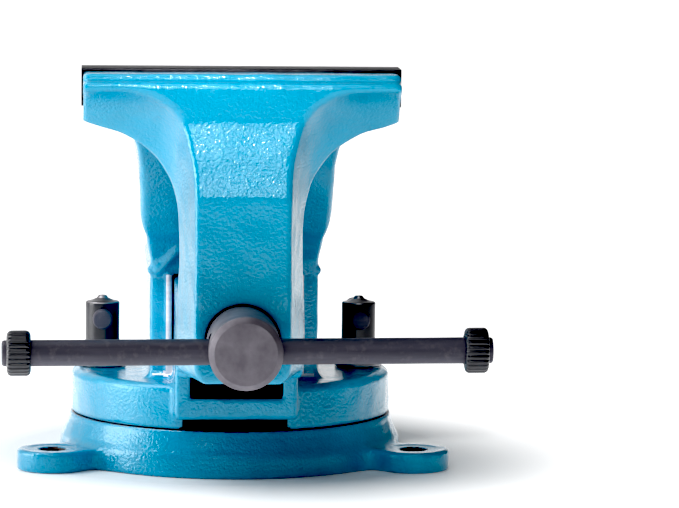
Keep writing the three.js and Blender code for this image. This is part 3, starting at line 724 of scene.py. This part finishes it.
def jaw_plate(name, side, body, node):
    """Hardened plate. Its working face is cut with crossed grooves; two counterbored holes."""
    y_face = -120 + side * 0.3
    y_back = y_face + side * 12.4
    nx, nz = ((381, 46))
    xs = np.linspace(-76.2, 76.2, nx)
    zs = np.linspace(187, 204.9, nz)
    X, Z = np.meshgrid(xs, zs, indexing="ij")
    edge = np.minimum(np.minimum(76.2 - np.abs(X), Z - 187), 204.9 - Z)
    pitch = 2.4
    a = np.abs(((X + Z) / pitch) % 1 - 0.5) * 2
    b = np.abs(((X - Z) / pitch) % 1 - 0.5) * 2
    groove = np.clip((np.maximum(a, b) - 0.72) / 0.28, 0, 1)
    hole = np.minimum(np.hypot(X + 38, Z - 196), np.hypot(X - 38, Z - 196))
    depth = 0.45 * groove * np.clip((edge - 1.4) / 0.5, 0, 1) * np.clip((hole - 8.0) / 0.5, 0, 1)
    roll = np.clip(0.7 - edge, 0, 0.7)  # rounded long edges
    depth = depth + 0.7 - np.sqrt(np.maximum(0.49 - roll ** 2, 0))
    front = np.stack([X, y_face + side * depth, Z], -1).reshape(-1, 3)
    bm = bmesh.new()
    vs = [bm.verts.new(v) for v in front]
    grid = np.arange(nx * nz).reshape(nx, nz)
    for i in range(nx - 1):
        for j in range(nz - 1):
            bm.faces.new([vs[grid[i, j]], vs[grid[i + 1, j]], vs[grid[i + 1, j + 1]], vs[grid[i, j + 1]]])
    rim = list(grid[:, 0]) + list(grid[-1, 1:]) + list(grid[-2::-1, -1]) + list(grid[0, -2:0:-1])
    rings = [rim_vs := [vs[k] for k in rim]]
    for off, y in ((0.0, y_back - side * 0.7), (0.2, y_back - side * 0.2), (0.7, y_back)):
        ring = []
        for v in rim_vs:
            x = max(-76.2 + off, min(76.2 - off, v.co.x))
            z = max(187 + off, min(204.9 - off, v.co.z))
            ring.append(bm.verts.new((x, y, z)))
        rings.append(ring)
    for r0, r1 in zip(rings, rings[1:]):
        for k in range(len(r0)):
            k2 = (k + 1) % len(r0)
            bm.faces.new([r0[k], r0[k2], r1[k2], r1[k]])
    bm.faces.new(rings[-1])
    bmesh.ops.recalc_face_normals(bm, faces=bm.faces)
    bm.transform(Matrix.Scale(0.001, 4))
    me = bpy.data.meshes.new(name)
    bm.to_mesh(me)
    bm.free()
    me.materials.append(OXIDE)
    ob = bpy.data.objects.new(name, me)
    scene.collection.objects.link(ob)
    cutters = []
    for x in (-38, 38):
        lo, hi = sorted((y_face - side * 2, y_back + side * 2))
        cutters.append(turned("c", [(0, lo), (4.5, lo), (4.5, hi), (0, hi)], OXIDE, "Y", (x, 0, 196), 48))
        lo, hi = sorted((y_face - side * 2, y_face + side * 7))
        cutters.append(turned("c", [(0, lo), (7.1, lo), (7.1, hi), (0, hi)], OXIDE, "Y", (x, 0, 196), 56))
    subtract(ob, *cutters)
    sharpen(ob, 30)
    finish_piece(ob, body, "black_oxide", node)
    for tag, x in (("left", -38), ("right", 38)):
        # cap screw: head, shank, hexagon socket
        d = -side
        top, under, tip = 0.9, 6.6, 30
        prof = fillet([(0, top), (6.6, top, 0.7), (6.6, under, 0.2), (3.9, under, 0.2), (3.9, tip - 1, 0.3), (3.0, tip, 0.1), (0, tip)])
        m = Matrix.Translation((x, y_face, 196)) @ Matrix.Rotation(math.pi if d > 0 and False else 0, 4, "X")
        if side < 0:
            m = m @ Matrix.Rotation(math.pi, 4, "X")
        s = turned(f"{node.split('_')[0]}_plate_screw_{tag}", prof, STEEL, "Y", m, 48)
        sock = turned("c", [(0, -1), (3.46, -1), (3.46, 4.2), (0, 5.4)], STEEL, "Y", m, 6)
        subtract(s, sock)
        sharpen(s, 28)
        finish_piece(s, body, "bare_steel", f"{node.split('_')[0]}_jaw_screw_{tag}")


jaw_plate("front_plate", -1, "moving_jaw", "front_jaw_plate")
jaw_plate("rear_plate", 1, "fixed_jaw", "rear_jaw_plate")


# the screw: nose with its cross hole, plain shank, then a trapezoid thread of 6 mm lead
def screw():
    z0 = 78.7
    head = fillet([(0, -216), (14.6, -216, 0.35), (17.25, -213.4, 0.5), (17.25, -166, 0.5), (10, -166, 0.6), (10, -106)], 4)
    step = 0.5
    rows = head[:-1] + [(10.0, h) for h in np.arange(-160, -106, 6)]
    hs = np.arange(-106, 128.01, step)
    rows += [(10.0, h) for h in hs] + [(8.0, 130.0), (0, 130.0)]

    def radius(th, r, h):
        if h < -106 or h > 128.01 or r < 9.99:
            return np.full(len(th), r)
        # right-hand thread about +Y
        phase = ((h / 6.0 - th / (2 * math.pi)) % 1.0)
        crest = np.clip((np.abs(phase - 0.5) * 2 - 0.30) / 0.30, 0, 1)  # 0 in the root, 1 on the crest
        fade = min(1.0, (h + 106) / 5.0, (128.6 - h) / 3.0)
        return 10.0 - 1.9 * (1 - crest) * max(fade, 0)

    ob = turned("vise_screw", rows, NOSE, "Y", (0, 0, z0), 80, radius)
    hole = turned("c", [(0, -30), (7.5, -30), (7.5, 30), (0, 30)], NOSE, "X", (0, -196, z0), 80)
    pin = turned("c", [(0, -30), (1.7, -30), (1.7, 30), (0, 30)], NOSE, "Z", (0, -119, z0), 24)
    subtract(ob, hole, pin)
    # smooth shading, kept sharp at edges above 34 degrees such as the cross hole's
    sharpen(ob, 34)
    finish_piece(ob, "screw", "bare_steel", "spindle")


screw()
Z0 = 78.7


def washer(name, r0, r1, h0, h1, material, axis, at, body, slot, node, e=0.25):
    ob = turned(name, rounded([(r0, h0, e), (r1, h0, e), (r1, h1, e), (r0, h1, e)], 3), material, axis, at, 72, closed=True)
    return finish_piece(ob, body, slot, node)


washer("thrust_ring", 10.7, 17.0, -165.6, -163.4, BRONZE, "Y", (0, 0, Z0), "moving_jaw", "bronze", "thrust_washer")
washer("spring_seat", 10.45, 13, -127.6, -125.6, STEEL, "Y", (0, 0, Z0), "screw", "bare_steel", "spring_washer")
collar = turned("collar", rounded([(10.3, -125.2, 0.3), (13, -125.2, 0.8), (13, -113, 0.8), (10.3, -113, 0.3)], 3), STEEL, "Y", (0, 0, Z0), 72, closed=True)
subtract(collar, turned("c", [(0, -30), (1.75, -30), (1.75, 30), (0, 30)], STEEL, "Z", (0, -119, Z0), 32))
finish_piece(sharpen(collar), "screw", "bare_steel", "retainer_collar")
pin = turned("collar_pin", fillet([(0, -12.6), (1.55, -12.6, 0.4), (1.55, 12.6, 0.4), (0, 12.6)]), STEEL, "Z", (0, -119, Z0), 28)
finish_piece(pin, "screw", "bare_steel", "retainer_pin")

# compression spring, its coils a little closer together at the ends
pts = []
for i in range(0, 181):
    t = i / 180
    a = t * 3.5 * 2 * math.pi
    ease = t + 0.035 * math.sin(2 * math.pi * t) * -1
    pts.append((11.5 * math.cos(a), -141.2 + 11.6 * ease, 11.5 * math.sin(a) + Z0))
ring = [(1.05 * math.cos(k * math.pi / 6), 1.05 * math.sin(k * math.pi / 6)) for k in range(12)]
P = np.array(pts)
T = np.gradient(P, axis=0)
T /= np.linalg.norm(T, axis=1)[:, None]
out = P - np.array([0, 0, Z0]) * 1.0
out[:, 1] = 0
out /= np.linalg.norm(out, axis=1)[:, None]
Bv = np.cross(T, out)
bm = bmesh.new()
rings = [[bm.verts.new(P[i] + out[i] * a + Bv[i] * b) for a, b in ring] for i in range(len(P))]
for r0, r1 in zip(rings, rings[1:]):
    for k in range(12):
        bm.faces.new([r0[k], r0[(k + 1) % 12], r1[(k + 1) % 12], r1[k]])
bm.faces.new(rings[0][::-1])
bm.faces.new(rings[-1])
bmesh.ops.recalc_face_normals(bm, faces=bm.faces)
bm.transform(Matrix.Scale(0.001, 4))
me = bpy.data.meshes.new("jaw_spring")
bm.to_mesh(me)
bm.free()
me.materials.append(STEEL)
spring = bpy.data.objects.new("jaw_spring", me)
scene.collection.objects.link(spring)
finish_piece(sharpen(spring, 50), "screw", "bare_steel", "retainer_spring")

# ------------------------------------------------------------------ handle
TILT = Matrix.Translation((0, -196, Z0 - 1.15)) @ Matrix.Rotation(-math.radians(0.5), 4, "Y")
bar_profile = fillet([(0, -112.6), (6.1, -112.6, 1.4), (6.15, -108, 0.3), (6.15, 111, 0.3), (6.1, 115.6, 1.4), (0, 115.6)], 6)
dense = []
for a, b in zip(bar_profile, bar_profile[1:]):
    k = max(1, int(abs(b[1] - a[1]) / 3))
    dense += [(a[0] + (b[0] - a[0]) * i / k, a[1] + (b[1] - a[1]) * i / k) for i in range(k)]
dense.append(bar_profile[-1])
bar = turned("handle_rod", dense, BAR, "X", TILT, 72,
             lambda th, r, h: r - (0.05 + 0.05 * np.sin(3 * th + h / 9) * np.sin(h / 13 + th)) * (r > 6))
finish_piece(bar, "handle", "black_oxide", "handle_bar")


def knob(name, x0, x1, node):
    """Pressed-on end knob with axial ribs and rounded shoulders."""
    core = rounded([(6.5, x0 + 0.4, 0.3), (8.2, x0, 0.4), (10.6, x0 + 0.6, 2.2), (10.6, x1 - 0.6, 2.2), (8.2, x1, 0.4), (6.5, x1 - 0.4, 0.3)], 6)
    rows = []
    for a, b in zip(core, core[1:] + core[:1]):
        k = max(1, int(abs(b[1] - a[1]) / 0.9))
        rows += [(a[0] + (b[0] - a[0]) * i / k, a[1] + (b[1] - a[1]) * i / k) for i in range(k)]

    def radius(th, r, h):
        wave = np.abs(((th / (2 * math.pi) * 26) % 1) - 0.5) * 2      # 1 between two ribs
        notch = 0.5 - 0.5 * np.cos(math.pi * np.clip((wave - 0.35) / 0.65, 0, 1))
        return r - 0.55 * notch * np.clip((r - 8.6) / 1.3, 0, 1)

    ob = turned(name, rows, LACQUER, "X", TILT, 26 * 12, radius, closed=True)
    sharpen(ob, 42)
    return finish_piece(ob, "handle", "black_lacquer", node)


knob("knob_left", -110.3, -99.1, "handle_knob_left")
knob("knob_right", 102.3, 113.5, "handle_knob_right")

# ------------------------------------------------------------------ turntable locks
for tag, x in (("left", -65.2), ("right", 65.2)):
    prof = fillet([(0, 81.4), (1.9, 81.2, 0.5), (2.9, 79.9, 0.6), (5.6, 78.7, 0.8), (8.1, 78.2, 0.4), (8.6, 77.6, 0.4), (8.6, 48.4, 0.4), (6.35, 48.4, 0.2), (6.35, 62, 0.2), (0, 62.5)], 4)
    rows = []
    for a, b in zip(prof, prof[1:]):
        k = max(1, int(math.hypot(b[1] - a[1], b[0] - a[0]) / 2.5))
        rows += [(a[0] + (b[0] - a[0]) * i / k, a[1] + (b[1] - a[1]) * i / k) for i in range(k)]
    rows.append(prof[-1])
    post = turned(f"lock_post_{tag}", rows, LACQUER, "Z", (x, 0, 0), 72)
    post.data.materials.append(STEEL)
    subtract(post, turned("c", [(0, -20), (4.15, -20), (4.15, 20), (0, 20)], LACQUER, "Y", (x, 0, 70.4), 48))
    for p in post.data.polygons:
        if p.center.z > 0.0778 and p.material_index == 0:
            p.material_index = len(post.data.materials) - 1 if post.data.materials[-1] == STEEL else 1
    sharpen(post, 34)
    finish_piece(post, f"lock_{tag}", "black_lacquer", f"lock_nut_{tag}")
    y0, y1 = -16.6, 44
    prof = fillet([(0, y0), (4.95, y0, 1.1), (4.95, y0 + 7.2, 0.9), (3.7, y0 + 7.4, 0.3), (3.7, y1 - 7.4, 0.3), (4.95, y1 - 7.2, 0.9), (4.95, y1, 1.1), (0, y1)], 4)
    lb = turned(f"lock_handle_{tag}", prof, BAR, "Y", (x, 0, 70.4), 48)
    finish_piece(lb, f"lock_{tag}_bar", "black_oxide", f"lock_bar_{tag}")
    washer(f"post_washer_{tag}", 6.5, 12, 45.55, 48.05, STEEL, "Z", (x, 0, 0), "fixed_jaw", "bare_steel", f"lock_washer_{tag}", 0.4)

for node, material in (("spindle_nut", BRONZE), ("nut_bolt", STEEL), ("lock_stud_left", STEEL), ("lock_stud_right", STEEL)):
    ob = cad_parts[node]
    ob = ob if isinstance(ob, bpy.types.Object) else bpy.data.objects[node]
    if not ob.material_slots:
        ob.data.materials.append(material)
    for s in ob.material_slots:
        s.material = material

# ------------------------------------------------------------------ stage and light
WORLD_BACK, WORLD_SIDE, WORLD_FRONT = 0.80, 0.9, 0.15
floor_mesh = bpy.data.meshes.new("floor")
floor_mesh.from_pydata([(-4, -4, 0), (4, -4, 0), (4, 5, 0), (-4, 5, 0)], [], [(0, 1, 2, 3)])
floor = bpy.data.objects.new("floor", floor_mesh)
scene.collection.objects.link(floor)
fm = Nodes("floor")
fm.set(Base_Color=fm.ramp(fm.noise(6, 2), [(0, (0.90, 0.90, 0.90, 1)), (1, (0.93, 0.93, 0.93, 1))]), Roughness=0.55)
fx = fm.new("ShaderNodeSeparateXYZ")
fm.link(fm.coord, fx.inputs[0])
reach = fm.new("ShaderNodeVectorMath", operation="LENGTH")
fm.link(fm.mapped(location=(0.0, -0.01, 0)), reach.inputs[0])
# painted light: the floor glows, faintly next to the vise and fully from 0.2 m out, fading away far to the left and
# right
left_edge = fm.remap(fx.outputs[0], 0.38, 1.0, -0.85, -0.26)
right_edge = fm.remap(fm.math("SUBTRACT", fx.outputs[0], fm.math("MULTIPLY", fx.outputs[1], 0.12)), 1.0, 0.38, 0.29, 0.66)
fm.set(Emission_Color=(1.0, 1.0, 1.0, 1.0), Emission_Strength=fm.math(
    "MULTIPLY", fm.remap(reach.outputs["Value"], 0.03, 0.90, 0.112, 0.20), fm.math("MULTIPLY", left_edge, right_edge)))
floor_mesh.materials.append(fm.mat)

world = bpy.data.worlds.new("world")
scene.world = world
world.use_nodes = True
wt = world.node_tree
back = wt.nodes["Background"]
geo = wt.nodes.new("ShaderNodeTexCoord")
sep = wt.nodes.new("ShaderNodeSeparateXYZ")
wt.links.new(geo.outputs["Generated"], sep.inputs[0])


def wmap(src, lo, hi, a, b):
    m = wt.nodes.new("ShaderNodeMapRange")
    m.interpolation_type = "SMOOTHSTEP"
    for k, v in (("From Min", lo), ("From Max", hi), ("To Min", a), ("To Max", b)):
        m.inputs[k].default_value = v
    wt.links.new(src, m.inputs["Value"])
    return m.outputs[0]


def wmath(op, a, b):
    m = wt.nodes.new("ShaderNodeMath")
    m.operation = op
    for k, v in enumerate((a, b)):
        if isinstance(v, (int, float)):
            m.inputs[k].default_value = v
        else:
            wt.links.new(v, m.inputs[k])
    return m.outputs[0]


def scaled(name, src, value):
    out = wmath("MULTIPLY", src, value)
    out.node.name = name
    return out


# A white sweep behind and to the left, brightest straight behind, and a dim room in front and to the right.
behind = wmap(sep.outputs[1], -0.35, 0.45, 0.0, 1.0)
leftish = wmap(sep.outputs[0], -0.45, 0.30, 1.0, 0.16)
side = wmap(sep.outputs[1], 0.90, 0.985, 0.0, 1.0)
front = wmap(sep.outputs[1], -0.6, 0.1, 1.0, 0.0)
env = wmath("ADD", wmath("ADD", scaled("w_back", wmath("MULTIPLY", behind, leftish), WORLD_BACK),
                         scaled("w_side", side, WORLD_SIDE)), scaled("w_front", front, WORLD_FRONT))
seen = wt.nodes.new("ShaderNodeLightPath")
mixv = wt.nodes.new("ShaderNodeMix")
mixv.data_type = "FLOAT"
wt.links.new(seen.outputs["Is Camera Ray"], mixv.inputs[0])
wt.links.new(env, mixv.inputs[2])
mixv.inputs[3].default_value = 1.0
back.inputs[0].default_value = (1, 1, 1, 1)
wt.links.new(mixv.outputs[0], back.inputs[1])


def softbox(name, where, target, w, h, radiance, colour=(1, 1, 1), spread=180):
    data = bpy.data.lights.new(name, "AREA")
    data.shape, data.size, data.size_y, data.color = "RECTANGLE", w, h, colour
    data.energy = radiance * math.pi * w * h
    data.spread = math.radians(spread)
    ob = bpy.data.objects.new(name, data)
    ob.location = where
    ob.rotation_euler = (Vector(target) - Vector(where)).to_track_quat("-Z", "Y").to_euler()
    scene.collection.objects.link(ob)
    return ob


def focused(name, where, target, degrees, watts):
    """A lensed lamp that lights the head of the vise and fades out below it."""
    data = bpy.data.lights.new(name, "SPOT")
    data.spot_size, data.spot_blend, data.shadow_soft_size, data.energy = math.radians(degrees), 1.0, 0.04, watts
    ob = bpy.data.objects.new(name, data)
    ob.location = where
    ob.rotation_euler = (Vector(target) - Vector(where)).to_track_quat("-Z", "Y").to_euler()
    scene.collection.objects.link(ob)
    return ob


softbox("front", (-0.12, -1.1, 0.63), (0, -0.16, 0.16), 0.62, 0.30, 4.2)
softbox("overhead", (-0.42, -0.06, 0.62), (-0.03, -0.06, 0.05), 0.4, 0.5, 3.6)
softbox("left", (-0.75, -0.12, 0.22), (0, -0.1, 0.1), 0.5, 0.4, 5.2)
softbox("top", (-0.05, -0.3, 0.85), (0, -0.14, 0.1), 0.5, 0.36, 1.8)
focused("lens_centre", (-0.14, -0.80, 0.78), (0.0, -0.165, 0.204), 9, 25)
focused("lens_left", (-0.14, -0.80, 0.78), (-0.05, -0.16, 0.203), 8, 21)
focused("lens_right", (-0.14, -0.80, 0.78), (0.055, -0.16, 0.200), 8, 11)

scene.view_settings.view_transform = "Standard"
scene.view_settings.look = "None"
scene.view_settings.exposure = 0.0
scene.view_settings.use_curve_mapping = True
scene.view_settings.curve_mapping.black_level = (0.060, 0.060, 0.060)
scene.view_settings.curve_mapping.update()

bpy.context.view_layer.update()
